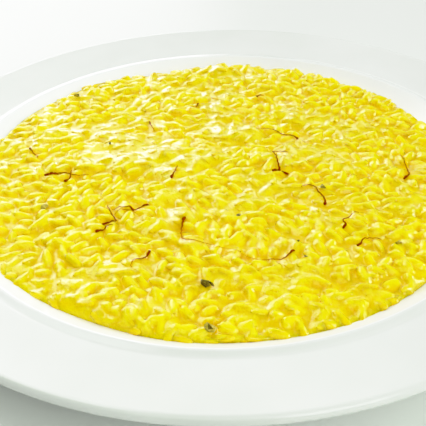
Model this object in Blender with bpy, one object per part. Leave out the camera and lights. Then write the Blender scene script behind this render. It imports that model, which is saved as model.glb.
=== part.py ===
"""Saffron risotto in a wide-rimmed porcelain plate.

Metres, +Z up. The origin is on the table under the middle of the plate, and
the diner sits on the -Y side. The plate is turned about Z. The risotto fills
its well up to just under the lip, as one solid out to its uneven outline.
"""
import math

import bmesh
import bpy
from mathutils import Vector, noise

MM = 0.001
SEGMENTS = 80                     # facets round both pieces, so that their facets run parallel

# Plate, a half section turned about Z
PLATE_RADIUS = 150.0 * MM
RIM_HEIGHT = 25.0 * MM            # top of the outer edge
RIM_THICKNESS = 4.4 * MM
EDGE_FILLET = 2.1 * MM
LIP_RADIUS = 117.6 * MM           # raised bead between the well and the rim
LIP_HEIGHT = 22.0 * MM
LIP_FILLET = 2.4 * MM
GROOVE_RADIUS = 121.0 * MM        # shallow dip just outside the lip
GROOVE_HEIGHT = 20.8 * MM
GROOVE_FILLET = 5.0 * MM
WELL_RADIUS = 97.0 * MM           # foot of the well's wall
WELL_HEIGHT = 8.0 * MM
WELL_FILLET = 16.0 * MM
BASE_THICKNESS = 4.8 * MM
WALL_THICKNESS = 4.6 * MM
FOOT_INNER_RADIUS = 72.5 * MM
FOOT_OUTER_RADIUS = 77.5 * MM
FOOT_FILLET = 0.9 * MM
FOOT_SPLAY = 2.0 * MM
ARC_STEP = math.radians(34.0)     # largest turn between two points of a fillet

# Risotto
RISOTTO_RADIUS = 109.4 * MM       # mean radius of the line where it meets the wall
RISOTTO_CLEARANCE = 0.35 * MM     # between its underside and the well
RISOTTO_MIDDLE = 21.0 * MM        # height of the top in the middle
RISOTTO_SHOULDER = 19.2 * MM      # height of the top just inside its rounded edge
SHOULDER_WIDTH = 6.5 * MM         # how far in the rounded edge reaches
SHOULDER_RINGS = 4
TOP_RINGS = 13
UNDERSIDE_RINGS = (0.30, 0.62, 0.86, 0.92, 0.965)    # shares of the outline's radius

# The outline's waves: lobes round the heap, size, and turn of the first crest
OUTLINE_WAVES = (
    (1, 1.6 * MM, 2.8),
    (2, 0.4 * MM, 2.2),
    (3, 0.4 * MM, 0.6),
    (5, 0.9 * MM, 1.2),
    (8, 0.6 * MM, 0.6),
    (13, 0.4 * MM, 0.2),
)
# The top's swells: width of one swell, its height, and where its pattern starts
TOP_SWELLS = (
    (46.0 * MM, 1.1 * MM, Vector((3.7, 8.2, 0.4))),
    (19.0 * MM, 0.9 * MM, Vector((11.3, 2.6, 5.9))),
)

PORCELAIN = (0.88, 0.88, 0.86, 1.0)
SAFFRON = (0.83, 0.63, 0.01, 1.0)


def clear_scene():
    for thing in list(bpy.data.objects):
        bpy.data.objects.remove(thing, do_unlink=True)


def make_material(name, colour, roughness):
    material = bpy.data.materials.new(name)
    material.use_nodes = True
    shader = material.node_tree.nodes["Principled BSDF"]
    shader.inputs["Base Color"].default_value = colour
    shader.inputs["Roughness"].default_value = roughness
    shader.inputs["Metallic"].default_value = 0.0
    material.diffuse_color = colour
    return material


def rounded(corners):
    """The points of a line through corners (r, z, fillet), each corner replaced by its arc."""
    points = []
    for index, (r, z, fillet) in enumerate(corners):
        corner = Vector((r, z))
        if fillet == 0.0:
            points.append(corner)
            continue
        back = (Vector(corners[index - 1][:2]) - corner).normalized()
        ahead = (Vector(corners[index + 1][:2]) - corner).normalized()
        half_angle = back.angle(ahead) / 2.0
        centre = corner + (back + ahead).normalized() * fillet / math.sin(half_angle)
        reach = fillet / math.tan(half_angle)
        start = corner + back * reach - centre
        end = corner + ahead * reach - centre
        sweep = math.pi - 2.0 * half_angle
        steps = max(1, math.ceil(sweep / ARC_STEP))
        for step in range(steps + 1):
            turn = sweep * step / steps
            arm = start * math.sin(sweep - turn) + end * math.sin(turn)
            points.append(centre + arm / math.sin(sweep))
    return points


def plate_underside():
    base = WELL_HEIGHT - BASE_THICKNESS
    return rounded([
        (0.0, base, 0.0),
        (FOOT_INNER_RADIUS - FOOT_SPLAY, base, FOOT_FILLET),
        (FOOT_INNER_RADIUS, 0.0, FOOT_FILLET),
        (FOOT_OUTER_RADIUS, 0.0, FOOT_FILLET),
        (FOOT_OUTER_RADIUS + FOOT_SPLAY, base, FOOT_FILLET),
        (WELL_RADIUS + 0.4 * WALL_THICKNESS, base + 0.6 * MM, WELL_FILLET),
        (LIP_RADIUS + 0.6 * WALL_THICKNESS, GROOVE_HEIGHT - WALL_THICKNESS, WELL_FILLET),
        (PLATE_RADIUS, RIM_HEIGHT - RIM_THICKNESS, EDGE_FILLET),
        (PLATE_RADIUS, RIM_HEIGHT, 0.0),
    ])[:-1]


def plate_rim():
    return rounded([
        (PLATE_RADIUS, RIM_HEIGHT - RIM_THICKNESS, 0.0),
        (PLATE_RADIUS, RIM_HEIGHT, EDGE_FILLET),
        (GROOVE_RADIUS, GROOVE_HEIGHT, GROOVE_FILLET),
        (LIP_RADIUS, LIP_HEIGHT, 0.0),
    ])[1:-1]


def plate_well():
    return rounded([
        (GROOVE_RADIUS, GROOVE_HEIGHT, 0.0),
        (LIP_RADIUS, LIP_HEIGHT, LIP_FILLET),
        (WELL_RADIUS, WELL_HEIGHT, WELL_FILLET),
        (0.0, WELL_HEIGHT, 0.0),
    ])[1:]


def well_height(radius):
    """Height of the well's surface at a radius."""
    line = plate_well()
    for outer, inner in zip(line, line[1:]):
        if inner.x <= radius <= outer.x:
            share = (radius - inner.x) / (outer.x - inner.x)
            return inner.y + share * (outer.y - inner.y)
    return LIP_HEIGHT


def finish_object(name, form, material, crease_degrees):
    """Makes the object of a closed bmesh, with its faces out and smooth below the crease angle."""
    bmesh.ops.recalc_face_normals(form, faces=form.faces)
    mesh = bpy.data.meshes.new(name)
    form.to_mesh(mesh)
    form.free()
    mesh.shade_smooth()
    mesh.set_sharp_from_angle(angle=math.radians(crease_degrees))
    mesh.materials.append(material)
    thing = bpy.data.objects.new(name, mesh)
    bpy.context.scene.collection.objects.link(thing)
    return thing


def make_plate():
    form = bmesh.new()
    section = [form.verts.new((point.x, 0.0, point.y))
               for point in plate_underside() + plate_rim() + plate_well()]
    edges = [form.edges.new(pair) for pair in zip(section, section[1:])]
    bmesh.ops.spin(form, geom=section + edges, cent=(0, 0, 0), axis=(0, 0, 1),
                   angle=2.0 * math.pi, steps=SEGMENTS, use_merge=True)
    bmesh.ops.remove_doubles(form, verts=form.verts, dist=0.01 * MM)
    return finish_object("plate", form, make_material("porcelain", PORCELAIN, 0.12), 40.0)


def outline_radius(turn):
    """Radius of the line where the risotto meets the wall, in the direction turn."""
    return RISOTTO_RADIUS + sum(size * math.cos(lobes * (turn - crest))
                                for lobes, size, crest in OUTLINE_WAVES)


def top_height(x, y):
    """Height of the risotto's top, apart from its rounded edge."""
    from_middle = min(1.0, math.hypot(x, y) / RISOTTO_RADIUS)
    height = RISOTTO_MIDDLE + (RISOTTO_SHOULDER - RISOTTO_MIDDLE) * from_middle ** 2
    for width, size, start in TOP_SWELLS:
        height += size * noise.noise(Vector((x, y, 0.0)) / width + start)
    return height


def contact_height(turn):
    return well_height(outline_radius(turn)) + RISOTTO_CLEARANCE


def make_ring(form, radius_at, height_at):
    """One ring of points: radius_at(turn), and height_at(x, y, turn)."""
    ring = []
    for step in range(SEGMENTS):
        turn = 2.0 * math.pi * step / SEGMENTS
        x = radius_at(turn) * math.cos(turn)
        y = radius_at(turn) * math.sin(turn)
        ring.append(form.verts.new((x, y, height_at(x, y, turn))))
    return ring


def underside_ring(form, share):
    return make_ring(
        form,
        lambda turn: share * outline_radius(turn),
        lambda x, y, turn: well_height(math.hypot(x, y)) + RISOTTO_CLEARANCE,
    )


def shoulder_ring(form, rise):
    """A ring of the rounded edge, rise going from 0 at the wall to a quarter turn."""
    inset = SHOULDER_WIDTH * (1.0 - math.cos(rise))
    return make_ring(
        form,
        lambda turn: outline_radius(turn) - inset,
        lambda x, y, turn: contact_height(turn)
        + (top_height(x, y) - contact_height(turn)) * math.sin(rise),
    )


def top_ring(form, share):
    return make_ring(
        form,
        lambda turn: share * (outline_radius(turn) - SHOULDER_WIDTH),
        lambda x, y, turn: top_height(x, y),
    )


def make_risotto():
    form = bmesh.new()
    rings = [underside_ring(form, share) for share in UNDERSIDE_RINGS]
    rings += [shoulder_ring(form, 0.5 * math.pi * step / SHOULDER_RINGS)
              for step in range(SHOULDER_RINGS + 1)]
    rings += [top_ring(form, step / TOP_RINGS) for step in range(TOP_RINGS - 1, 0, -1)]
    for ring, next_ring in zip(rings, rings[1:]):
        for step in range(SEGMENTS):
            after = (step + 1) % SEGMENTS
            form.faces.new((ring[step], ring[after], next_ring[after], next_ring[step]))
    low = form.verts.new((0.0, 0.0, well_height(0.0) + RISOTTO_CLEARANCE))
    high = form.verts.new((0.0, 0.0, top_height(0.0, 0.0)))
    for step in range(SEGMENTS):
        after = (step + 1) % SEGMENTS
        form.faces.new((low, rings[0][after], rings[0][step]))
        form.faces.new((high, rings[-1][step], rings[-1][after]))
    return finish_object("risotto", form, make_material("saffron_rice", SAFFRON, 0.3), 50.0)


clear_scene()
make_plate()
make_risotto()
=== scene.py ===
"""The looks of a plate of saffron risotto: glazed porcelain, creamy rice, saffron and pepper.

Metres, +Z up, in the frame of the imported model. The diner sits on the -Y side.
"""

import math

import bmesh
import bpy
import numpy as np
from mathutils import Matrix, Vector, noise


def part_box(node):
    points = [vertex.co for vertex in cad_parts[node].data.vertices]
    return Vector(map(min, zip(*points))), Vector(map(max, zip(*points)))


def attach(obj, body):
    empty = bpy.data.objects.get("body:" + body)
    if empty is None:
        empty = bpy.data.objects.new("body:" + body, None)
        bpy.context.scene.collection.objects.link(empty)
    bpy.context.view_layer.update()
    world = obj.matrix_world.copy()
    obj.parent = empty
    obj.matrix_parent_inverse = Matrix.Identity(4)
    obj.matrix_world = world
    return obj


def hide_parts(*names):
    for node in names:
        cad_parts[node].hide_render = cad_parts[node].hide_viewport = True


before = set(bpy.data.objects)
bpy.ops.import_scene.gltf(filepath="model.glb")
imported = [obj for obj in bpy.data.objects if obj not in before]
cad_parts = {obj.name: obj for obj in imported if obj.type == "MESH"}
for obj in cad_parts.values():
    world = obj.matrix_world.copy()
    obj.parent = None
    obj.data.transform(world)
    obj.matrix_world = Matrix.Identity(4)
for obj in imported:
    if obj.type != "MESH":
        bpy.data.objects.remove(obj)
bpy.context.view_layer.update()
plate_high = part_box("plate")[1]

MM = 0.001
TURN = 2.0 * math.pi

# Plate: the section of the solid, with finer arcs
PLATE_RADIUS = plate_high.x
RIM_HEIGHT = 25.0 * MM
RIM_THICKNESS = 4.4 * MM
EDGE_FILLET = 2.1 * MM
LIP_RADIUS = 117.6 * MM
LIP_HEIGHT = 22.0 * MM
LIP_FILLET = 2.4 * MM
GROOVE_RADIUS = 121.0 * MM
GROOVE_HEIGHT = 20.8 * MM
GROOVE_FILLET = 5.0 * MM
WELL_RADIUS = 97.0 * MM
WELL_HEIGHT = 8.0 * MM
WELL_FILLET = 16.0 * MM
BASE_THICKNESS = 4.8 * MM
WALL_THICKNESS = 4.6 * MM
FOOT_INNER_RADIUS = 72.5 * MM
FOOT_OUTER_RADIUS = 77.5 * MM
FOOT_FILLET = 0.9 * MM
FOOT_SPLAY = 2.0 * MM
BARE_FOOT_HEIGHT = 0.35 * MM      # the foot ring is unglazed below this
WELL_TOLERANCE = 0.1 * MM         # the whiter colour painted in the well, painted light on its wall, begins this far under its floor
PLATE_SEGMENTS = 256
ARC_STEP = math.radians(7.0)

# Risotto: the heap's form, as in the solid. The outline's waves (lobes round it, height, crest in
# radians) are a fit to an outline measured in a picture, rounded and partly changed
RISOTTO_RADIUS = 109.4 * MM
RISOTTO_MIDDLE = 21.0 * MM
RISOTTO_SHOULDER = 19.2 * MM
SHOULDER_WIDTH = 6.5 * MM
OUTLINE_WAVES = (
    (1, 1.6 * MM, 2.8),
    (2, 0.4 * MM, 2.2),
    (3, 0.4 * MM, 0.6),
    (5, 0.9 * MM, 1.2),
    (8, 0.6 * MM, 0.6),
    (13, 0.4 * MM, 0.2),
)
TOP_SWELLS = (
    (46.0 * MM, 1.1 * MM, Vector((3.7, 8.2, 0.4))),
    (19.0 * MM, 0.9 * MM, Vector((11.3, 2.6, 5.9))),
)

# The top is worked out flat: a disc, whose outer band is then bent down as the heap's rounded edge
EDGE_BAND = 7.6 * MM
FLAT_RADIUS = RISOTTO_RADIUS - SHOULDER_WIDTH + EDGE_BAND
RELIEF_STEP = 0.32 * MM
RELIEF_MARGIN = 6.0 * MM
OUTSIDE_HEIGHT = -2.0 * MM        # the ground beyond the disc
COARSE_POINTS = 140               # noise is worked out on this many points a side
KERNEL_SPAN = 2.5                 # soften reaches this many times its own reach

# Lumps of the heap: widths of a swell across and away from the diner, and its height (mm)
BROAD_LUMPS = (34.0 * MM, 15.0 * MM)
BROAD_LUMP_HEIGHT = 1.1
FINE_LUMPS = (12.0 * MM, 9.0 * MM)
FINE_LUMP_HEIGHT = 0.9

# Rice: cooked grains, half sizes, dropped one by one until they fill this depth below the form
GRAIN_LENGTH = (3.0 * MM, 4.6 * MM)
GRAIN_WIDTH = (1.4 * MM, 1.9 * MM)
GRAIN_FLATNESS = (0.72, 0.9)
GRAIN_BLUNTNESS = (2.4, 3.8)
GRAIN_BEND = 0.09
GRAIN_TAPER = 0.16
BEND_MIDDLE = 0.35
GRAIN_SWELL = 0.2                 # how uneven a grain is
SWELL_WIDTH = 2.4 * MM
DENT_WIDTH = 1.0 * MM
DENT_SHARE = 0.45
NOISE_SPREAD = 1000.0             # sets the grains far apart in the noise
GRAIN_COUNT = 3200                # dropped; those that end up hidden are left out
GRAIN_TRIES = 12
GRAIN_MARGIN = 3.0 * MM
EDGE_CLEARANCE = 1.5 * MM
YAW_SPREAD = 0.7
LIE_SWELLS = (45.0 * MM, 30.0 * MM)
LIE_TURN = 1.6                    # radians by which neighbouring grains turn together
GRAIN_RINGS = 8
GRAIN_SIDES = 12
PIECE_GRAINS = 1180               # the most grains in one piece
HEAP_DEPTH = 7.2 * MM
HEAP_TOP = -0.55 * MM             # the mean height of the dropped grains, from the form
CREST_LIMIT = 0.75 * MM
PRESSED_IN = 0.8                  # share of what stands above the limit
LEVEL_MARGIN = 8.0 * MM
HIDDEN_DEPTH = 0.35 * MM          # a grain this far under the cream is left out
CREST_ALONG = 0.6                 # a tilted grain is highest at this share of its half length
CREST_THICKNESS = 0.5             # and as thick there as this share of its middle
NO_WIDTH = 1e-9
PITCHES = np.radians(np.arange(-24.0, 25.0, 8.0))
PITCH_COST = 0.12                 # a grain would rather lie flat
# Where a grain may touch what is under it, as shares of its half length and half width
REST_STOPS = np.array([-0.8, -0.42, 0.0, 0.42, 0.8])
REST_SIDES = np.array([-0.62, 0.0, 0.62])

# Cream between the grains
CREAM_SIDE = 580                  # the cream's grid has this many points a side, before it is thinned out
CREAM_TRIANGLES = 196000
CREAM_LEVEL = -1.75 * MM          # from the heap's form
CREAM_FOLLOW = 0.7                # share of the heap's lumps that the cream follows
CREAM_RIPPLES = (5.0 * MM, 4.0 * MM)
CREAM_RIPPLE_HEIGHT = 0.25        # mm
MENISCUS_HEIGHT = 0.9 * MM
MENISCUS_REACH = 0.7 * MM
CLING_LIMIT = 0.6                 # the cream clings to a grain up to this share of its thickness
CREAM_BLEND = 0.12 * MM
FILM = (-0.36 * MM, -0.06 * MM)   # a grain's top, from the cream over it
THIN_GLAZE = 0.4 * MM             # where the cream lies thin, detail finer than this is rounded off
THIN_GLAZE_RISE = 0.2 * MM
THICK_GLAZE = 1.6 * MM
THICK_GLAZE_RISE = 0.38 * MM

# The cream's edge: over the last share of the disc it comes to EDGE_HEIGHT. From there hidden rings
# go on just under the plate's surface: how far outside the heap's outline, and how deep
EDGE_FADE_START = 0.955
EDGE_FADE_WIDTH = 0.045
EDGE_HEIGHT = 0.25 * MM
BED_DEPTH = 0.1 * MM              # the cream's underside, under the well's surface
HIDDEN_RINGS = ((0.4 * MM, 0.9 * MM), (-4.0 * MM, 0.3 * MM), (-14.0 * MM, BED_DEPTH))

# How pale (tint) and glossy (wet) the cream is. Its tint by height is painted shade, darker and deeper in
# the low places between grains
OPEN_CREAM_TINT = 0.3
HIDDEN_CREAM_TINT = 0.1
SHADE_TINT_FOR_HEIGHT = 0.35            # painted shade: tint gained for each mm above the cream's level, so the low places are darker
TINT_FROM_GRAINS = 0.35
WET_HEIGHT = 0.9 * MM

# Clumps that stand proud of the heap: place, half widths across and away, height (mm). The places
# were worked out roughly from a picture of the dish
CLUMPS = (
    (-1, 101, 9, 6, 3.0),
    (-62, 76, 10, 6, 0.8),
    (38, 93, 6, 5, 1.6),
    (52, 84, 8, 6, 0.6),
    (73, 68, 8, 6, 1.4),
)

# Smooth glaze sloping away from the diner: place and half widths across and away (mm). A helper
# script measured four of the places in a picture of the dish; the other two lie near its others
GLAZE_PATCHES = (
    (-40, 12, 24, 12),
    (-22, -2, 12, 9),
    (34, 50, 8, 8),
    (1, 29, 9, 7),
    (-3, 73, 10, 7),
    (19, -83, 6, 6),
)
GLAZE_SLOPE = 0.17
GLAZE_FILL = 1.6                  # how fully a patch is glazed; over 1 fills its middle
GLAZE_SWELLS = (17.0 * MM, 11.0 * MM)
GLAZE_SHARE = 0.15                # the more, the more of the heap lies under thick glaze
GLAZE_CONTRAST = 2.3

# Where the grains stand free of the glaze: place and half widths across and away (mm)
BARE_PATCHES = (
    (-64, -50, 32, 20),
    (-86, -12, 20, 16),
    (58, -66, 26, 16),
)

# Deep, plain and pale flesh. On the cream the deep colour is also painted shade in the low places between
# grains
RICE_COLOURS = ((0.94, 0.635, 0.001, 1), (0.955, 0.655, 0.001, 1), (0.965, 0.73, 0.004, 1))
RICE_TRANSLUCENCY = 0.3
CREAM_COLOURS = ((0.94, 0.64, 0.001, 1), (0.955, 0.655, 0.001, 1), (0.965, 0.73, 0.004, 1))
CREAM_TRANSLUCENCY = 0.9

# Where each random row starts
RICE_SEED = 5
THREAD_SEED = 41
FLECK_SEED = 17


# ---------------------------------------------------------------- forms, as in the solids

def rounded(corners):
    """The points of a line through corners (r, z, fillet), each corner replaced by its arc."""
    points = []
    for index, (r, z, fillet) in enumerate(corners):
        corner = Vector((r, z))
        if fillet == 0.0:
            points.append(corner)
            continue
        back = (Vector(corners[index - 1][:2]) - corner).normalized()
        ahead = (Vector(corners[index + 1][:2]) - corner).normalized()
        half_angle = back.angle(ahead) / 2.0
        centre = corner + (back + ahead).normalized() * fillet / math.sin(half_angle)
        reach = fillet / math.tan(half_angle)
        start = corner + back * reach - centre
        end = corner + ahead * reach - centre
        sweep = math.pi - 2.0 * half_angle
        steps = max(2, math.ceil(sweep / ARC_STEP))
        for step in range(steps + 1):
            turn = sweep * step / steps
            arm = start * math.sin(sweep - turn) + end * math.sin(turn)
            points.append(centre + arm / math.sin(sweep))
    return points


def plate_underside():
    base = WELL_HEIGHT - BASE_THICKNESS
    return rounded([
        (0.0, base, 0.0),
        (FOOT_INNER_RADIUS - FOOT_SPLAY, base, FOOT_FILLET),
        (FOOT_INNER_RADIUS, 0.0, FOOT_FILLET),
        (FOOT_OUTER_RADIUS, 0.0, FOOT_FILLET),
        (FOOT_OUTER_RADIUS + FOOT_SPLAY, base, FOOT_FILLET),
        (WELL_RADIUS + 0.4 * WALL_THICKNESS, base + 0.6 * MM, WELL_FILLET),
        (LIP_RADIUS + 0.6 * WALL_THICKNESS, GROOVE_HEIGHT - WALL_THICKNESS, WELL_FILLET),
        (PLATE_RADIUS, RIM_HEIGHT - RIM_THICKNESS, EDGE_FILLET),
        (PLATE_RADIUS, RIM_HEIGHT, 0.0),
    ])[:-1]


def plate_rim():
    return rounded([
        (PLATE_RADIUS, RIM_HEIGHT - RIM_THICKNESS, 0.0),
        (PLATE_RADIUS, RIM_HEIGHT, EDGE_FILLET),
        (GROOVE_RADIUS, GROOVE_HEIGHT, GROOVE_FILLET),
        (LIP_RADIUS, LIP_HEIGHT, 0.0),
    ])[1:-1]


def plate_well():
    return rounded([
        (GROOVE_RADIUS, GROOVE_HEIGHT, 0.0),
        (LIP_RADIUS, LIP_HEIGHT, LIP_FILLET),
        (WELL_RADIUS, WELL_HEIGHT, WELL_FILLET),
        (0.0, WELL_HEIGHT, 0.0),
    ])[1:]


WELL_LINE = plate_well()[::-1]


def well_height(radius):
    """Heights of the well's surface at radii, as an array."""
    return np.interp(radius, [point.x for point in WELL_LINE], [point.y for point in WELL_LINE])


def outline_radius(turn):
    return RISOTTO_RADIUS + sum(size * np.cos(lobes * (turn - crest))
                                for lobes, size, crest in OUTLINE_WAVES)


def swells(x, y):
    total = np.zeros(len(x))
    for width, size, start in TOP_SWELLS:
        total += [size * noise.noise(Vector((a, b, 0.0)) / width + start) for a, b in zip(x, y)]
    return total


# ---------------------------------------------------------------- small helpers

def wave_noise(x, y, seed):
    """Smooth noise from -1 to 1 at places x, y, its swells about 1 across."""
    start = Vector((seed * 7.13, seed * 3.71, seed * 1.97))
    return np.array([noise.noise(Vector((a, b, 0.0)) + start) for a, b in zip(x, y)])


def make_object(name, points, faces, materials, smooth=True):
    mesh = bpy.data.meshes.new(name)
    mesh.from_pydata(np.asarray(points).tolist(), [], faces)
    mesh.validate()
    if smooth:
        mesh.shade_smooth()
    for material in materials:
        mesh.materials.append(material)
    thing = bpy.data.objects.new(name, mesh)
    bpy.context.scene.collection.objects.link(thing)
    return thing


def paint(thing, name, values, domain="POINT"):
    """Stores one number for each point or face, which the materials read by name."""
    attribute = thing.data.attributes.new(name, "FLOAT", domain)
    attribute.data.foreach_set("value", np.asarray(values, np.float32))


def thin_out(thing, triangles):
    """Fewer triangles where the surface is even."""
    modifier = thing.modifiers.new("thin_out", "DECIMATE")
    modifier.ratio = triangles / sum(len(face.vertices) - 2 for face in thing.data.polygons)
    graph = bpy.context.evaluated_depsgraph_get()
    thinned = bpy.data.meshes.new_from_object(thing.evaluated_get(graph))
    thing.modifiers.clear()
    thing.data = thinned


# ---------------------------------------------------------------- materials

class Nodes:
    """A material's node tree, with short calls for the nodes used here."""

    def __init__(self, name):
        self.material = bpy.data.materials.new(name)
        self.material.use_nodes = True
        self.tree = self.material.node_tree
        self.shader = self.tree.nodes["Principled BSDF"]

    def set(self, **values):
        for name, value in values.items():
            self.shader.inputs[name.replace("_", " ")].default_value = value

    def link(self, source, target):
        self.tree.links.new(source, target)

    def new(self, kind, **values):
        node = self.tree.nodes.new(kind)
        for name, value in values.items():
            setattr(node, name, value)
        return node

    def places(self):
        return self.new("ShaderNodeTexCoord").outputs["Object"]

    def noise(self, scale, detail=3.0, roughness=0.5):
        node = self.new("ShaderNodeTexNoise")
        node.inputs["Scale"].default_value = scale
        node.inputs["Detail"].default_value = detail
        node.inputs["Roughness"].default_value = roughness
        self.link(self.places(), node.inputs["Vector"])
        return node.outputs["Fac"]

    def attribute(self, name):
        return self.new("ShaderNodeAttribute", attribute_name=name).outputs["Fac"]

    def ramp(self, factor, *stops):
        node = self.new("ShaderNodeValToRGB")
        elements = node.color_ramp.elements
        while len(elements) < len(stops):
            elements.new(0.5)
        for element, (position, colour) in zip(elements, stops):
            element.position = position
            element.color = colour
        self.link(factor, node.inputs["Fac"])
        return node.outputs["Color"]

    def mix(self, factor, first, second, blend="MIX"):
        node = self.new("ShaderNodeMix", data_type="RGBA", blend_type=blend)
        self.link(factor, node.inputs["Factor"])
        for socket, value in ((node.inputs[6], first), (node.inputs[7], second)):
            if isinstance(value, tuple):
                socket.default_value = value
            else:
                self.link(value, socket)
        return node.outputs[2]

    def span(self, factor, low, high):
        node = self.new("ShaderNodeMapRange")
        node.inputs["To Min"].default_value = low
        node.inputs["To Max"].default_value = high
        self.link(factor, node.inputs["Value"])
        return node.outputs["Result"]

    def bump(self, height, distance, strength=1.0, under=None):
        node = self.new("ShaderNodeBump")
        node.inputs["Distance"].default_value = distance
        node.inputs["Strength"].default_value = strength
        self.link(height, node.inputs["Height"])
        if under is not None:
            self.link(under, node.inputs["Normal"])
        return node.outputs["Normal"]


def porcelain_material():
    nodes = Nodes("glazed_porcelain")
    cloud = nodes.noise(38.0, 2.0)
    glaze = nodes.ramp(cloud, (0.3, (0.745, 0.755, 0.735, 1)), (0.7, (0.785, 0.79, 0.775, 1)))
    # Painted light: the well is painted whiter than the rim, standing in for the light that falls on its
    # wall
    nodes.link(nodes.mix(nodes.attribute("well"), glaze, (0.96, 0.965, 0.985, 1.0)),
               nodes.shader.inputs["Base Color"])
    nodes.link(nodes.span(nodes.noise(90.0, 3.0), 0.15, 0.24), nodes.shader.inputs["Roughness"])
    ripple = nodes.bump(nodes.noise(55.0, 1.0), 0.0003, 0.35)
    nodes.link(nodes.bump(nodes.noise(900.0, 2.0), 0.00002, 0.25, ripple), nodes.shader.inputs["Normal"])
    nodes.set(IOR=1.5)
    return nodes.material


def biscuit_material():
    """The foot ring's unglazed edge."""
    nodes = Nodes("unglazed_foot")
    grit = nodes.noise(1400.0, 4.0)
    nodes.link(nodes.ramp(grit, (0.3, (0.62, 0.58, 0.52, 1)), (0.7, (0.76, 0.73, 0.67, 1))),
               nodes.shader.inputs["Base Color"])
    nodes.link(nodes.bump(grit, 0.0001, 0.6), nodes.shader.inputs["Normal"])
    nodes.set(Roughness=0.85)
    return nodes.material


def rice_material(name, deep, plain, pale, translucency):
    """Saffron-stained starch: tint says how pale it is (on the cream it is also painted shade, low in the
    hollows between grains), stain how near a thread lies, wet how glossy.
    """
    nodes = Nodes(name)
    patches = nodes.noise(120.0, 2.0)
    flesh = nodes.ramp(nodes.attribute("tint"), (0.0, deep), (0.5, plain), (1.0, pale))
    mottled = nodes.mix(nodes.span(patches, 0.0, 0.2), flesh, deep)
    stained = nodes.mix(nodes.attribute("stain"), mottled, (0.9, 0.45, 0.001, 1.0))
    nodes.link(stained, nodes.shader.inputs["Base Color"])
    nodes.link(nodes.span(nodes.attribute("wet"), 0.45, 0.2), nodes.shader.inputs["Roughness"])
    swell = nodes.bump(nodes.noise(480.0, 2.0), 0.00057, 1.0)
    nodes.link(nodes.bump(nodes.noise(1200.0, 2.0), 0.00019, 1.0, swell), nodes.shader.inputs["Normal"])
    nodes.set(IOR=1.33, Specular_Tint=(1.0, 0.74, 0.05, 1.0), Subsurface_Weight=translucency,
              Subsurface_Radius=(1.0, 0.97, 0.12), Subsurface_Scale=0.004,
              Coat_Weight=1.0, Coat_IOR=1.34, Coat_Roughness=0.06)
    return nodes.material


def saffron_material():
    """Dark red at the head of a thread, orange at its tail."""
    nodes = Nodes("saffron_thread")
    streaks = nodes.noise(2500.0, 2.0)
    along = nodes.ramp(nodes.attribute("along"), (0.0, (0.26, 0.040, 0.0, 1)),
                       (0.3, (0.38, 0.085, 0.0, 1)), (0.6, (0.66, 0.28, 0.001, 1)),
                       (1.0, (0.85, 0.52, 0.003, 1)))
    nodes.link(nodes.mix(nodes.span(streaks, 0.0, 0.6), along, (0.14, 0.022, 0.0, 1.0)),
               nodes.shader.inputs["Base Color"])
    nodes.link(nodes.bump(streaks, 0.00008, 0.7), nodes.shader.inputs["Normal"])
    nodes.set(Roughness=0.8, Specular_IOR_Level=0.0)
    return nodes.material


def pepper_material():
    """Dark skin and paler broken faces."""
    nodes = Nodes("cracked_pepper")
    grit = nodes.noise(1100.0, 4.0)
    skin = nodes.ramp(grit, (0.35, (0.07, 0.05, 0.008, 1)), (0.7, (0.22, 0.165, 0.03, 1)))
    flesh = nodes.ramp(grit, (0.35, (0.36, 0.26, 0.015, 1)), (0.7, (0.66, 0.54, 0.12, 1)))
    nodes.link(nodes.mix(nodes.attribute("broken"), skin, flesh), nodes.shader.inputs["Base Color"])
    nodes.link(nodes.bump(grit, 0.00015, 0.7), nodes.shader.inputs["Normal"])
    nodes.set(Roughness=0.8, Specular_IOR_Level=0.1)
    return nodes.material


def floor_material():
    nodes = Nodes("pale_table")
    nodes.link(nodes.ramp(nodes.noise(3.0, 2.0), (0.3, (0.745, 0.76, 0.74, 1)),
                          (0.7, (0.785, 0.795, 0.78, 1))),
               nodes.shader.inputs["Base Color"])
    nodes.set(Roughness=0.45)
    return nodes.material


# ---------------------------------------------------------------- plate

def make_plate():
    section = plate_underside() + plate_rim() + plate_well()
    rings = section[1:-1]
    turns = np.arange(PLATE_SEGMENTS) * TURN / PLATE_SEGMENTS
    points = [(point.x * math.cos(turn), point.x * math.sin(turn), point.y)
              for point in rings for turn in turns]
    faces = []
    for ring in range(len(rings) - 1):
        for step in range(PLATE_SEGMENTS):
            after = (step + 1) % PLATE_SEGMENTS
            low, high = ring * PLATE_SEGMENTS, (ring + 1) * PLATE_SEGMENTS
            faces.append((low + step, low + after, high + after, high + step))
    bottom, top = len(points), len(points) + 1
    points += [(0.0, 0.0, section[0].y), (0.0, 0.0, section[-1].y)]
    last = (len(rings) - 1) * PLATE_SEGMENTS
    for step in range(PLATE_SEGMENTS):
        after = (step + 1) % PLATE_SEGMENTS
        faces.append((bottom, after, step))
        faces.append((top, last + step, last + after))
    plate = make_object("porcelain_plate", points, faces, [porcelain_material(), biscuit_material()])
    for face in plate.data.polygons:
        if face.center.z < BARE_FOOT_HEIGHT:
            face.material_index = 1
    # Painted light: marks the well, which the porcelain paints whiter for the light on its wall
    paint(plate, "well", [float(math.hypot(x, y) < LIP_RADIUS and z > WELL_HEIGHT - WELL_TOLERANCE)
                          for x, y, z in points])
    return plate


# ---------------------------------------------------------------- the heap's form

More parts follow.
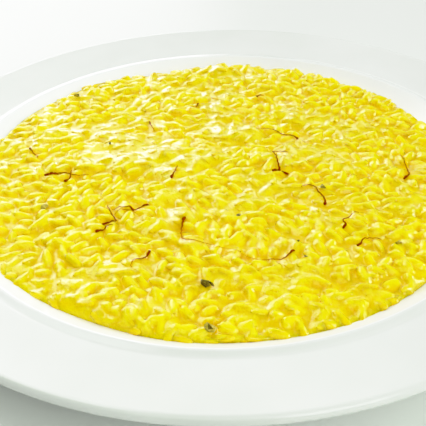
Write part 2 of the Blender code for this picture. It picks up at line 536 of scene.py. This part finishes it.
def form_at(u, v):
    """Points of the heap's form, and its outward directions, at flat places u, v."""
    share = np.minimum(np.hypot(u, v) / FLAT_RADIUS, 1.0)
    turn = np.arctan2(v, u)
    band_start = 1.0 - EDGE_BAND / FLAT_RADIUS
    inner = outline_radius(turn) - SHOULDER_WIDTH
    bend = np.clip((share - band_start) / (1.0 - band_start), 0.0, 1.0) * 0.5 * math.pi
    radius = inner * np.minimum(share / band_start, 1.0) + SHOULDER_WIDTH * np.sin(bend)
    x, y = radius * np.cos(turn), radius * np.sin(turn)
    from_middle = np.minimum(radius / RISOTTO_RADIUS, 1.0)
    top = RISOTTO_MIDDLE + (RISOTTO_SHOULDER - RISOTTO_MIDDLE) * from_middle ** 2 + swells(x, y)
    contact = well_height(outline_radius(turn))
    z = contact + (top - contact) * np.cos(bend)
    outward = np.sin(bend) * (top - contact)
    upward = np.cos(bend) * SHOULDER_WIDTH
    length = np.hypot(outward, upward)
    outward, upward = outward / length, upward / length
    places = np.stack([x, y, z], axis=1)
    normals = np.stack([outward * np.cos(turn), outward * np.sin(turn), upward], axis=1)
    return places, normals


# ---------------------------------------------------------------- relief of the flattened top

class Relief:
    """Heights over the flat disc, on a square grid: of the grains' tops and of the cream."""

    def __init__(self):
        reach = FLAT_RADIUS + RELIEF_MARGIN
        self.line = np.arange(-reach, reach, RELIEF_STEP)
        self.v, self.u = np.meshgrid(self.line, self.line, indexing="ij")
        broad = self.waves(BROAD_LUMPS, seed=3.0) * BROAD_LUMP_HEIGHT
        fine = self.waves(FINE_LUMPS, seed=5.0) * FINE_LUMP_HEIGHT
        self.lumps = (broad + fine) * MM
        pooled = GLAZE_SHARE + GLAZE_CONTRAST * self.waves(GLAZE_SWELLS, seed=21.0)
        self.thick_glaze = np.clip(pooled, 0.0, 1.0)
        for x, y, wide, deep, height in CLUMPS:
            self.lumps += height * MM * self.mound(x, y, wide, deep)
        for x, y, wide, deep in GLAZE_PATCHES:
            near = self.mound(x, y, wide, deep)
            self.lumps -= GLAZE_SLOPE * (self.v - y * MM) * near
            self.thick_glaze = np.maximum(self.thick_glaze, np.minimum(GLAZE_FILL * near, 1.0))
        for x, y, wide, deep in BARE_PATCHES:
            self.thick_glaze *= 1.0 - self.mound(x, y, wide, deep)
        self.lie = self.waves(LIE_SWELLS, seed=7.0) * LIE_TURN
        self.top = self.lumps - HEAP_DEPTH
        self.top[np.hypot(self.u, self.v) > FLAT_RADIUS] = OUTSIDE_HEIGHT

    def waves(self, widths, seed):
        """Smooth noise over the grid, its swells of these widths along u and v, read off a coarser one."""
        coarse = np.linspace(self.line[0], self.line[-1], COARSE_POINTS)
        v, u = np.meshgrid(coarse, coarse, indexing="ij")
        values = wave_noise(u.ravel() / widths[0], v.ravel() / widths[1], seed).reshape(u.shape)
        by_column = np.array([np.interp(self.line, coarse, row) for row in values])
        return np.array([np.interp(self.line, coarse, column) for column in by_column.T]).T

    def mound(self, x, y, wide, deep):
        """1 at a place, falling away over the half widths (mm)."""
        return np.exp(-((self.u / MM - x) / wide) ** 2 - ((self.v / MM - y) / deep) ** 2)

    def soften(self, values, reach):
        """Values of the grid with detail finer than reach rounded off."""
        steps = math.ceil(KERNEL_SPAN * reach / RELIEF_STEP)
        shifts = range(-steps, steps + 1)
        weights = [math.exp(-0.5 * (shift * RELIEF_STEP / reach) ** 2) for shift in shifts]
        for axis in (0, 1):
            values = sum(weight * np.roll(values, shift, axis)
                         for weight, shift in zip(weights, shifts)) / sum(weights)
        return values

    def window(self, u, v, reach):
        first = np.searchsorted(self.line, (u - reach, v - reach))
        last = np.searchsorted(self.line, (u + reach, v + reach))
        return slice(first[1], last[1]), slice(first[0], last[0])

    def cell(self, u, v):
        column = ((u - self.line[0]) / RELIEF_STEP).astype(int)
        row = ((v - self.line[0]) / RELIEF_STEP).astype(int)
        return row, column

    def read(self, values, u, v):
        """Values of a grid at places u, v, between its points."""
        last = len(self.line) - 1.001    # just inside the last cell
        column = np.clip((u - self.line[0]) / RELIEF_STEP, 0, last)
        row = np.clip((v - self.line[0]) / RELIEF_STEP, 0, last)
        c, r = column.astype(int), row.astype(int)
        fc, fr = column - c, row - r
        return ((values[r, c] * (1 - fc) + values[r, c + 1] * fc) * (1 - fr)
                + (values[r + 1, c] * (1 - fc) + values[r + 1, c + 1] * fc) * fr)

    def rest(self, u, v, yaw, length, width, thick):
        """Heights and pitches at which a grain, dropped at each of the places u, v, comes to rest."""
        along = REST_STOPS * length
        across = REST_SIDES * width
        forward = np.stack([np.cos(yaw), np.sin(yaw)])[:, :, None, None]
        sideways = np.stack([-np.sin(yaw), np.cos(yaw)])[:, :, None, None]
        spread = forward * along[None, None, :, None] + sideways * across[None, None, None, :]
        ground = self.top[self.cell(u[:, None, None] + spread[0], v[:, None, None] + spread[1])]
        under = thick * np.outer(np.sqrt(1.0 - REST_STOPS ** 2), np.sqrt(1.0 - REST_SIDES ** 2))
        need = (ground + under).max(axis=2)
        lift = np.sin(PITCHES)[:, None] * along[None, :]
        heights = (need[:, None, :] - lift[None, :, :]).max(axis=2)
        cost = heights + PITCH_COST * length * np.abs(PITCHES)[None, :]
        best = cost.argmin(axis=1)
        return heights[np.arange(len(u)), best], PITCHES[best]

    def grain_top(self, grain):
        """The part of the grid near a grain, whether each point there is over it, and its heights."""
        where = self.window(grain["u"], grain["v"], grain["length"] + GRAIN_MARGIN)
        du, dv = self.u[where] - grain["u"], self.v[where] - grain["v"]
        cos, sin = math.cos(grain["yaw"]), math.sin(grain["yaw"])
        p = (du * cos + dv * sin) / math.cos(grain["pitch"])
        share = p / grain["length"]
        q = dv * cos - du * sin - grain["bend"] * grain["length"] * (share ** 2 - BEND_MIDDLE)
        half = np.sqrt(np.maximum(1.0 - np.abs(share) ** grain["blunt"], 0.0)) * grain["width"] + NO_WIDTH
        inside = np.abs(q) < half
        crown = grain["thick"] / grain["width"] * np.sqrt(np.maximum(half ** 2 - q ** 2, 0.0))
        away = np.maximum(np.hypot(share, q / grain["width"]) - 1.0, 0.0) * grain["width"]
        return where, inside, grain["height"] + p * math.sin(grain["pitch"]) + crown, away

    def pile(self, grain):
        where, inside, surface, _ = self.grain_top(grain)
        self.top[where] = np.where(inside, np.maximum(self.top[where], surface), self.top[where])

    def pour(self, draw, grains):
        """Cream up to its level, drawn up round the grains and over most of them as a film."""
        ripples = self.waves(CREAM_RIPPLES, seed=9.0) * CREAM_RIPPLE_HEIGHT * MM
        level = CREAM_LEVEL + CREAM_FOLLOW * self.lumps + ripples
        base = np.exp(level / CREAM_BLEND)
        total = base.copy()
        self.top = level.copy()
        self.tint = np.full(level.shape, OPEN_CREAM_TINT)
        for grain in grains:
            where, inside, surface, away = self.grain_top(grain)
            crest = inside & (surface > self.top[where])
            self.top[where] = np.where(crest, surface, self.top[where])
            self.tint[where] = np.where(crest, grain["tint"], self.tint[where])
            film = draw.uniform(*FILM)
            cling = level[where] + MENISCUS_HEIGHT * np.exp(-away / MENISCUS_REACH)
            highest = grain["height"] + CLING_LIMIT * grain["thick"]
            cling = np.minimum(cling, np.maximum(highest, level[where]))
            target = np.where(inside, np.maximum(surface - film, cling), cling)
            total[where] += np.maximum(np.exp(target / CREAM_BLEND) - base[where], 0.0)
        drawn = CREAM_BLEND * np.log(total)
        thin = self.soften(drawn, THIN_GLAZE) + THIN_GLAZE_RISE
        thick = self.soften(drawn, THICK_GLAZE) + THICK_GLAZE_RISE
        self.cream = thin + (thick - thin) * self.thick_glaze
        self.tint = self.soften(self.tint, THIN_GLAZE)
        self.top = np.maximum(self.top, self.cream)


# ---------------------------------------------------------------- rice

def drop_grains(draw, relief):
    """Rice packed as it falls: each grain takes the lowest of a few places, then rests there."""
    grains = []
    for _ in range(GRAIN_COUNT):
        radius = (FLAT_RADIUS - EDGE_CLEARANCE) * np.sqrt(draw.random(GRAIN_TRIES))
        turn = TURN * draw.random(GRAIN_TRIES)
        u, v = radius * np.cos(turn), radius * np.sin(turn)
        yaw = relief.read(relief.lie, u, v) + draw.normal(0.0, YAW_SPREAD, GRAIN_TRIES)
        length, width = draw.uniform(*GRAIN_LENGTH), draw.uniform(*GRAIN_WIDTH)
        thick = width * draw.uniform(*GRAIN_FLATNESS)
        height, pitch = relief.rest(u, v, yaw, length, width, thick)
        best = (height - relief.read(relief.lumps, u, v)).argmin()
        grain = {"u": u[best], "v": v[best], "yaw": yaw[best], "length": length, "width": width,
                 "thick": thick, "height": height[best], "pitch": pitch[best],
                 "bend": draw.normal(0.0, GRAIN_BEND), "blunt": draw.uniform(*GRAIN_BLUNTNESS),
                 "taper": draw.uniform(-GRAIN_TAPER, GRAIN_TAPER), "tint": draw.random()}
        relief.pile(grain)
        grains.append(grain)
    return grains


def level_heap(relief, grains):
    """Lets the heap's mean height be HEAP_TOP, presses the highest grains in, drops the hidden ones."""
    inner = np.hypot(relief.u, relief.v) < FLAT_RADIUS - LEVEL_MARGIN
    rise = HEAP_TOP - (relief.top[inner] - relief.lumps[inner]).mean()
    seen = []
    for grain in grains:
        grain["height"] += rise
        lump = float(relief.read(relief.lumps, np.array([grain["u"]]), np.array([grain["v"]]))[0])
        reach = abs(math.sin(grain["pitch"])) * grain["length"] * CREST_ALONG
        crest = grain["height"] + max(grain["thick"], reach + CREST_THICKNESS * grain["thick"])
        over = crest - lump - CREST_LIMIT
        if over > 0.0:
            grain["height"] -= PRESSED_IN * over
        if crest > CREAM_LEVEL + CREAM_FOLLOW * lump - HIDDEN_DEPTH:
            seen.append(grain)
    return sorted(seen, key=lambda grain: -grain["height"])


def grain_shape(grain):
    """Points of one grain along, across and up from its middle: rings along it, then its two ends."""
    along = -np.cos(math.pi * np.arange(1, GRAIN_RINGS) / GRAIN_RINGS)
    around = TURN * np.arange(GRAIN_SIDES) / GRAIN_SIDES
    t = np.append(np.repeat(along, GRAIN_SIDES), (-1.0, 1.0))
    a = np.append(np.tile(around, GRAIN_RINGS - 1), (0.0, 0.0))
    plump = np.sqrt(1.0 - np.abs(t) ** grain["blunt"]) * (1.0 + grain["taper"] * t)
    p = grain["length"] * t
    q = grain["width"] * plump * np.cos(a)
    h = grain["thick"] * plump * np.sin(a)
    start = Vector((grain["u"], grain["v"], grain["yaw"])) * NOISE_SPREAD
    swell = np.array([noise.noise(Vector(place) / SWELL_WIDTH + start)
                      + DENT_SHARE * noise.noise(Vector(place) / DENT_WIDTH + start)
                      for place in zip(p, q, h)])
    p, q, h = (side * (1.0 + GRAIN_SWELL * swell) for side in (p, q, h))
    return p, q + grain["bend"] * grain["length"] * (t ** 2 - BEND_MIDDLE), h


def grain_faces():
    """The faces of one grain, by the numbers of its points."""
    faces = []
    for ring in range(GRAIN_RINGS - 2):
        for side in range(GRAIN_SIDES):
            after = (side + 1) % GRAIN_SIDES
            low, high = ring * GRAIN_SIDES, (ring + 1) * GRAIN_SIDES
            faces.append((low + after, low + side, high + side, high + after))
    last = (GRAIN_RINGS - 2) * GRAIN_SIDES
    ends = (GRAIN_RINGS - 1) * GRAIN_SIDES
    for side in range(GRAIN_SIDES):
        after = (side + 1) % GRAIN_SIDES
        faces.append((ends, side, after))
        faces.append((ends + 1, last + after, last + side))
    return faces


def make_grains(name, grains, material):
    """Grains as closed bodies in one mesh, each laid on the heap's form."""
    places, normals = form_at(np.array([grain["u"] for grain in grains]),
                              np.array([grain["v"] for grain in grains]))
    points = []
    for grain, place, normal in zip(grains, places, normals):
        p, q, h = grain_shape(grain)
        cos, sin = math.cos(grain["pitch"]), math.sin(grain["pitch"])
        forward = np.array([math.cos(grain["yaw"]), math.sin(grain["yaw"]), 0.0])
        forward = forward - normal * forward.dot(normal)
        forward = forward / np.linalg.norm(forward)
        sideways = np.cross(normal, forward)
        rise = p * sin + h * cos + grain["height"]
        ahead = p * cos - h * sin
        points.append(place + np.outer(ahead, forward) + np.outer(q, sideways) + np.outer(rise, normal))
    each = len(points[0])
    pattern = grain_faces()
    faces = [tuple(index + each * number for index in face)
             for number in range(len(grains)) for face in pattern]
    thing = make_object(name, np.vstack(points), faces, [material])
    paint(thing, "tint", np.repeat([grain["tint"] for grain in grains], each))
    paint(thing, "wet", np.full(len(points) * each, 1.0))
    return thing


# ---------------------------------------------------------------- cream

def disc_places(side, radius):
    """A square grid of places mapped evenly onto a disc, its outer points on the circle."""
    line = np.linspace(-1.0, 1.0, side)
    b, a = np.meshgrid(line, line, indexing="ij")
    wide = np.abs(a) >= np.abs(b)
    safe_a = np.where(a == 0, 1.0, a)
    safe_b = np.where(b == 0, 1.0, b)
    r = np.where(wide, a, b)
    turn = np.where(wide, math.pi / 4 * b / safe_a, math.pi / 2 - math.pi / 4 * a / safe_b)
    return (radius * r * np.cos(turn)).ravel(), (radius * r * np.sin(turn)).ravel()


def edge_loop(side):
    """Indices of the grid's outer points, in order round it."""
    bottom = list(range(side - 1))
    right = [row * side + side - 1 for row in range(side - 1)]
    top = [(side - 1) * side + column for column in range(side - 1, 0, -1)]
    left = [row * side for row in range(side - 1, 0, -1)]
    return bottom + right + top + left


def make_cream(relief, material):
    """The creamy body of the risotto, closed below, its edge let just into the plate's wall."""
    side = CREAM_SIDE
    u, v = disc_places(side, FLAT_RADIUS)
    places, normals = form_at(u, v)
    height = relief.read(relief.cream, u, v)
    share = np.hypot(u, v) / FLAT_RADIUS
    fade = np.clip((share - EDGE_FADE_START) / EDGE_FADE_WIDTH, 0.0, 1.0)
    height = height * (1.0 - fade) + EDGE_HEIGHT * fade
    points = places + normals * height[:, None]
    faces = [(r * side + c, r * side + c + 1, (r + 1) * side + c + 1, (r + 1) * side + c)
             for r in range(side - 1) for c in range(side - 1)]
    loop = edge_loop(side)
    rim = points[loop]
    turn = np.arctan2(rim[:, 1], rim[:, 0])
    rings = [loop]
    for outset, depth in HIDDEN_RINGS:
        radius = outline_radius(turn) + outset
        bed = well_height(radius) - depth
        ring = np.stack([radius * np.cos(turn), radius * np.sin(turn), bed], axis=1)
        rings.append(list(range(len(points), len(points) + len(ring))))
        points = np.vstack([points, ring])
    for upper, lower in zip(rings, rings[1:]):
        for step in range(len(loop)):
            after = (step + 1) % len(loop)
            faces.append((upper[step], lower[step], lower[after], upper[after]))
    points = np.vstack([points, (0.0, 0.0, WELL_HEIGHT - BED_DEPTH)])
    for step in range(len(loop)):
        faces.append((rings[-1][step], len(points) - 1, rings[-1][(step + 1) % len(loop)]))
    cream = make_object("risotto_cream", points, faces, [material])
    tint = np.full(len(points), HIDDEN_CREAM_TINT)
    # Painted shade: the tint rises with height, so the cream is painted darker and deeper the lower it lies
    # between the grains
    tint[:side * side] = (SHADE_TINT_FOR_HEIGHT * (height - CREAM_LEVEL) / MM
                          + TINT_FROM_GRAINS * relief.read(relief.tint, u, v))
    paint(cream, "tint", np.clip(tint, 0.0, 1.0))
    wet = np.zeros(len(points))
    wet[:side * side] = (height - CREAM_LEVEL) / WET_HEIGHT + relief.read(relief.thick_glaze, u, v)
    paint(cream, "wet", np.clip(wet, 0.0, 1.0))
    thin_out(cream, CREAM_TRIANGLES)
    return cream


# ---------------------------------------------------------------- saffron and pepper

# Threads: where the head lies (mm from the middle), heading (degrees), length (mm), girth (1 is
# usual), how orange the tail is, turns along it (degrees). A helper script measured most of them
# in a picture of the dish: the turns of thirteen rows are as it gave them, others were adjusted
THREADS = (
    (-79, -6, -26, 21, 1.2, 0.55, (7, 61, -52, -4, 7, 5, 30)),
    (-77, -4, -4, 6, 1.0, 0.1, (-27, -1)),
    (-69, -14, 78, 12, 1.2, 0.45, (0, 9, 1)),
    (-49, -44, -1, 19, 0.95, 0.2, (17, 98, -3, -3, 0)),
    (-51, -50, 29, 8, 1.1, 0.1, (18, -35)),
    (-31, -32, -136, 15, 0.95, 0.6, (-31, -5, 11, 12, -12)),
    (-37, -34, 140, 10, 0.8, 0.35, (64, -31, -27)),
    (-16, -43, -98, 38, 1.25, 1.7, (0, 5, 12, 62, 5, 0, -10, -5, 5, 5)),
    (27, -63, -134, 27, 0.95, 1.2, (-5, -25, -25, -10, -10, 5)),
    (-29, -64, -104, 13, 1.0, 0.6, (-27, -32, 54, 45)),
    (36, 23, 117, 22, 0.85, 0.5, (45, -5, 5, 30)),
    (25, -6, 76, 24, 1.0, 0.4, (20, -2, 7, 13, -49, -56, -37, -15)),
    (22, -8, 19, 4, 1.2, 0.1, (10,)),
    (29, -8, 169, 3, 1.1, 0.1, (5,)),
    (43, -34, 62, 22, 1.0, 0.3, (25, 20, 18, -26, 14, 29, 61, 27)),
    (48, -51, 39, 16, 0.95, 0.5, (69, -90, 39, -13, -58)),
    (52, -62, 39, 14, 0.95, 0.5, (14, -17, -45, -42)),
    (79, -13, 26, 22, 1.0, 0.6, (41, 23, 11, -4, -6)),
    (-22, -12, 82, 10, 1.1, 0.6, (-10, 20)),
    (-89, 17, -61, 10, 0.85, 0.3, (10, -10)),
    (-35, 40, -75, 12, 0.7, 0.8, (10, -15)),
    (17, 70, -30, 5, 1.3, 0.6, (20,)),
    (-12, 60, -115, 10, 0.6, 0.8, (-20, 10)),
)
SAFFRON_SIDES = 8
THREAD_STEPS = 56
THREAD_STIFFNESS = 40             # rounds of smoothing, which span the gaps between grains
THREAD_RADIUS = 0.32              # mm, at the head of a thread of usual girth
THREAD_THINNING = 0.18            # mm lost towards the tail, and ORANGE_THINNING more if it is orange
ORANGE_THINNING = 0.05
HEAD_RADIUS = 0.24                # mm that the trumpet adds, most at HEAD_MIDDLE and fading over HEAD_SPREAD
HEAD_MIDDLE = 0.9                 # mm along
HEAD_SPREAD = 1.4                 # mm
THREAD_BEADS = 0.14
HEAD_END = 0.55                   # the ends are drawn in to these shares of the radius
TAIL_END = 0.4
THREAD_LIFT = 0.1 * MM
THREAD_SINK = 0.5                 # share of its radius that the middle line stands over the ground
THREAD_ARCH = 0.3 * MM
THREAD_BREADTH = 1.15
THREAD_HEIGHT = 0.75
ORANGE_GROWTH = 0.8
CRINKLE = 15.0                    # degrees
CRINKLE_LENGTH = 2.6 * MM
CORNER_LENGTH = 1.3 * MM          # a turn is made over this length

# Flecks of cracked pepper: place (mm from the middle), half size (mm), share of pale broken faces.
# The same script measured ten of the places; four are as it gave them, the others were moved
FLECKS = (
    (-7, -81, 2.4, 0.0),
    (-5, -105, 2.6, 0.78),
    (-74, -31, 1.8, 0.7),
    (69, -61, 1.8, 0.75),
    (44, -22, 1.6, 0.4),
    (6, -41, 1.1, 0.35),
    (29, -58, 0.7, 0.1),
    (31, -67, 0.9, 0.6),
    (-74, 70, 1.8, 0.7),
    (-52, 20, 1.1, 0.4),
    (23, -109, 0.9, 0.3),
)
BIG_FLECK = 2.2                   # the flecks above this size that are dark have a splinter
CHIP_CORNERS = 16
CHIP_ROUNDNESS = 0.75             # the nearest that a corner may come to the middle
FLECK_LIFT = 0.3                  # half sizes above the cream
STAIN = 0.25
STAIN_REACH = 1.2 * MM

# A chip, and the splinter beside it: how far off the middle and how long along each axis (half sizes)
CHIP = (Vector((0.0, 0.0, 0.0)), Vector((1.1, 0.8, 0.75)))
SPLINTER = (Vector((1.0, 0.45, 0.25)), Vector((0.8, 0.3, 0.3)))


def thread_line(place, heading, length, turns):
    """Places along a thread whose course bends by each of turns in its turn."""
    steps = THREAD_STEPS
    share = np.linspace(0.0, 1.0, steps)
    bent = np.zeros(steps)
    for number, turn in enumerate(turns):
        corner = (number + 0.5) / len(turns)
        bent += turn * np.clip(0.5 + (share - corner) * length / CORNER_LENGTH, 0.0, 1.0)
    crinkle = CRINKLE * np.sin(TURN * share * length / CRINKLE_LENGTH + heading)
    course = np.radians(heading + bent + crinkle)
    stride = length / (steps - 1)
    u = place[0] + np.concatenate([[0.0], np.cumsum(np.cos(course[:-1]) * stride)])
    v = place[1] + np.concatenate([[0.0], np.cumsum(np.sin(course[:-1]) * stride)])
    return u, v


def make_threads(relief, material):
    """Saffron stigmas: a wider trumpet head, a thin body and a fine tail, lying over the grains."""
    draw = np.random.default_rng(THREAD_SEED)
    points, faces, along = [], [], []
    for x, y, heading, length, girth, tail, turns in THREADS:
        u, v = thread_line((x * MM, y * MM), heading, length * MM, turns)
        share = np.linspace(0.0, 1.0, THREAD_STEPS)
        height = relief.read(relief.top, u, v)
        lie = height.copy()
        for _ in range(THREAD_STIFFNESS):
            lie[1:-1] = np.maximum(height[1:-1], 0.5 * lie[:-2] + 0.5 * lie[2:])
        body = girth * (THREAD_RADIUS - (THREAD_THINNING + ORANGE_THINNING * tail) * share) * MM
        head = girth * HEAD_RADIUS * MM * np.exp(-((share * length - HEAD_MIDDLE) / HEAD_SPREAD) ** 2)
        radius = (body + head) * (1.0 + THREAD_BEADS * np.sin(3.0 * share * length + x))
        arch = THREAD_ARCH * np.sin(math.pi * share) * draw.random()
        height = lie + THREAD_LIFT + THREAD_SINK * radius + arch
        places, normals = form_at(u, v)
        line = places + normals * height[:, None]
        radius[0] *= HEAD_END
        radius[-1] *= TAIL_END
        ahead = np.gradient(line, axis=0)
        ahead /= np.linalg.norm(ahead, axis=1)[:, None]
        side = np.cross(normals, ahead)
        side /= np.linalg.norm(side, axis=1)[:, None]
        up = np.cross(ahead, side)
        start = len(points)
        for step in range(THREAD_STEPS):
            for corner in range(SAFFRON_SIDES):
                turn = TURN * corner / SAFFRON_SIDES
                offset = (side[step] * math.cos(turn) * THREAD_BREADTH
                          + up[step] * math.sin(turn) * THREAD_HEIGHT)
                points.append(line[step] + offset * radius[step])
                along.append(tail * share[step] ** ORANGE_GROWTH)
        for step in range(THREAD_STEPS - 1):
            for corner in range(SAFFRON_SIDES):
                after = (corner + 1) % SAFFRON_SIDES
                low, high = start + step * SAFFRON_SIDES, start + (step + 1) * SAFFRON_SIDES
                faces.append((low + corner, low + after, high + after, high + corner))
        faces.append(tuple(range(start + SAFFRON_SIDES - 1, start - 1, -1)))
        last = start + (THREAD_STEPS - 1) * SAFFRON_SIDES
        faces.append(tuple(range(last, last + SAFFRON_SIDES)))
    threads = make_object("saffron_threads", points, faces, [material])
    paint(threads, "along", along)
    return threads


def make_flecks(relief, material):
    """Cracked pepper: small angular chips lying in the cream, the broken faces paler than the skin."""
    draw = np.random.default_rng(FLECK_SEED)
    points, faces, broken = [], [], []
    for x, y, size, pale in FLECKS:
        u, v = np.array([x * MM]), np.array([y * MM])
        places, _ = form_at(u, v)
        lift = relief.read(relief.top, u, v)[0] + FLECK_LIFT * size * MM
        middle = Vector(places[0]) + Vector((0.0, 0.0, lift))
        spin = Matrix.Rotation(TURN * draw.random(), 3, "Z")
        chips = [CHIP]
        if size > BIG_FLECK and pale < 0.5:
            chips.append(SPLINTER)
        for offset, stretch in chips:
            form = bmesh.new()
            for _ in range(CHIP_CORNERS):
                corner = Vector(draw.normal(0.0, 1.0, 3)).normalized() * draw.uniform(CHIP_ROUNDNESS, 1.0)
                corner = Vector((corner.x * stretch.x, corner.y * stretch.y, corner.z * stretch.z)) + offset
                form.verts.new(spin @ corner * size * MM + middle)
            hull = bmesh.ops.convex_hull(form, input=form.verts)
            spare = {part for part in hull["geom_interior"] + hull["geom_unused"]
                     if isinstance(part, bmesh.types.BMVert)}
            bmesh.ops.delete(form, geom=list(spare), context="VERTS")
            form.verts.index_update()
            start = len(points)
            points += [vert.co.copy() for vert in form.verts]
            faces += [tuple(start + vert.index for vert in face.verts) for face in form.faces]
            broken += [float(draw.random() < pale) for _ in form.faces]
            form.free()
    flecks = make_object("pepper_flecks", points, faces, [material], smooth=False)
    paint(flecks, "broken", broken, "FACE")
    return flecks


def stain_near_threads(thing):
    """Orange where saffron has bled into the rice."""
    sources = []
    for x, y, heading, length, _, _, turns in THREADS:
        u, v = thread_line((x * MM, y * MM), heading, length * MM, turns)
        sources.append(np.stack([u, v], axis=1))
    sources = np.vstack(sources)
    co = np.zeros(len(thing.data.vertices) * 3, np.float32)
    thing.data.vertices.foreach_get("co", co)
    co = co.reshape(-1, 3)
    nearest = np.full(len(co), 1.0)
    for x, y in sources[::2]:
        nearest = np.minimum(nearest, np.hypot(co[:, 0] - x, co[:, 1] - y))
    paint(thing, "stain", STAIN * np.exp(-(nearest / STAIN_REACH) ** 2))


# ---------------------------------------------------------------- room

# Softboxes: azimuth from the far side towards the right and elevation (degrees), distance, width and height
# (m), brightness, colour. They began as a fit to a picture and were then tuned
DAYLIGHT = (1.0, 1.0, 1.0)
REFLECTED = (0.93, 1.0, 0.92)
SOFTBOXES = (
    ("window", -27, 17, 1.4, 1.30, 0.42, 6.3, DAYLIGHT),
    ("left_wall", -38, 40, 1.4, 0.70, 0.50, 3.8, DAYLIGHT),
    ("bright_wall", 18, 24, 1.4, 0.50, 0.30, 2.4, DAYLIGHT),
    ("upper_wall", -8, 40, 1.4, 0.90, 0.30, 1.3, DAYLIGHT),
    ("ceiling", 36, 62, 1.4, 0.50, 0.50, 1.1, REFLECTED),
    ("right_side", 80, 17, 1.4, 0.90, 0.40, 11.8, REFLECTED),
    ("left_near", -90, 62, 0.50, 0.25, 0.25, 4.2, REFLECTED),
    ("front_near", 152, 27, 0.67, 0.30, 0.30, 5.0, REFLECTED),
    ("front_high", 178, 52, 1.4, 1.20, 0.70, 1.85, REFLECTED),
)


# The camera's response: light in (1 is a fully lit white wall), light out
RESPONSE = (
    (0.0, 0.0),
    (0.012, 0.003),
    (0.03, 0.014),
    (0.08, 0.07),
    (0.16, 0.17),
    (0.35, 0.35),
    (0.6, 0.6),
    (0.8, 0.79),
    (0.9, 0.85),
    (1.0, 0.9),
    (1.15, 0.95),
    (1.4, 1.0),
)


# The camera: where it stands (above the lip), what it looks at, lens and roll. A fit to the plate's
# outlines in a picture gave all but the lens, which was chosen first
CAMERA_DISTANCE = 307.6 * MM
CAMERA_HEIGHT = 186.4 * MM
CAMERA_AIM = (-4.3 * MM, -39.3 * MM)
CAMERA_LENS = 67.6
FRAME_WIDTH = 36.0
CAMERA_ROLL = -1.35               # degrees
NEAREST_SEEN = 0.01

TABLE_REACH = 6
SKY_COLOUR = (0.92, 1.0, 0.86, 1.0)
SKY_STRENGTH = 0.1


def add_softbox(name, place, width, height, brightness, colour):
    """A light of even brightness, turned to the plate; 1 is as bright as a fully lit white wall."""
    light = bpy.data.lights.new(name, "AREA")
    light.shape = "RECTANGLE"
    light.size, light.size_y = width, height
    light.energy = brightness * math.pi * width * height
    light.color = colour
    thing = bpy.data.objects.new(name, light)
    thing.location = place
    thing.rotation_euler = (-Vector(place)).to_track_quat("-Z", "Y").to_euler()
    bpy.context.scene.collection.objects.link(thing)


def make_camera():
    """From the diner's side, a little above, near enough for the plate to be cut off at both sides."""
    lip_top = max(point.y for point in plate_well())
    place = Vector((0.0, -CAMERA_DISTANCE, lip_top + CAMERA_HEIGHT))
    aim = Vector((*CAMERA_AIM, lip_top))
    camera = bpy.data.cameras.new("camera")
    camera.sensor_width = FRAME_WIDTH
    camera.lens = CAMERA_LENS
    camera.clip_start = NEAREST_SEEN
    thing = bpy.data.objects.new("camera", camera)
    look = (aim - place).to_track_quat("-Z", "Y").to_matrix().to_4x4()
    roll = Matrix.Rotation(math.radians(CAMERA_ROLL), 4, "Z")
    thing.matrix_world = Matrix.Translation(place) @ look @ roll
    bpy.context.scene.collection.objects.link(thing)
    bpy.context.scene.camera = thing


def make_room():
    far = TABLE_REACH
    corners = [(-far, -far, 0), (far, -far, 0), (far, far, 0), (-far, far, 0)]
    floor = make_object("table", corners, [(0, 1, 2, 3)], [floor_material()])
    world = bpy.data.worlds.new("room")
    world.use_nodes = True
    sky = world.node_tree.nodes["Background"]
    sky.inputs["Color"].default_value = SKY_COLOUR
    sky.inputs["Strength"].default_value = SKY_STRENGTH
    bpy.context.scene.world = world
    for name, azimuth, elevation, distance, width, height, brightness, colour in SOFTBOXES:
        flat = distance * math.cos(math.radians(elevation))
        place = (flat * math.sin(math.radians(azimuth)), flat * math.cos(math.radians(azimuth)),
                 distance * math.sin(math.radians(elevation)))
        add_softbox(name, place, width, height, brightness, colour)
    view = bpy.context.scene.view_settings
    view.view_transform = "Standard"
    view.use_curve_mapping = True
    response = view.curve_mapping
    brightest = RESPONSE[-1][0]
    response.white_level = (brightest, brightest, brightest)
    curve = response.curves[3]
    for light_in, light_out in RESPONSE[1:-1]:
        curve.points.new(light_in / brightest, light_out)
    response.update()


# ---------------------------------------------------------------- the whole

def main():
    draw = np.random.default_rng(RICE_SEED)
    relief = Relief()
    grains = level_heap(relief, drop_grains(draw, relief))
    relief.pour(draw, grains)

    rice = rice_material("saffron_rice", *RICE_COLOURS, RICE_TRANSLUCENCY)
    cream = rice_material("saffron_cream", *CREAM_COLOURS, CREAM_TRANSLUCENCY)

    plate = make_plate()
    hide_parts("plate")
    body = make_cream(relief, cream)
    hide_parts("risotto")
    top_rice = make_grains("rice_on_top", grains[:PIECE_GRAINS], rice)
    low_rice = make_grains("rice_half_sunk", grains[PIECE_GRAINS:2 * PIECE_GRAINS], rice)
    for thing in (body, top_rice, low_rice):
        stain_near_threads(thing)
    threads = make_threads(relief, saffron_material())
    flecks = make_flecks(relief, pepper_material())
    for thing in (plate, body, top_rice, low_rice, threads, flecks):
        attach(thing, "root")

    make_room()
    make_camera()


main()
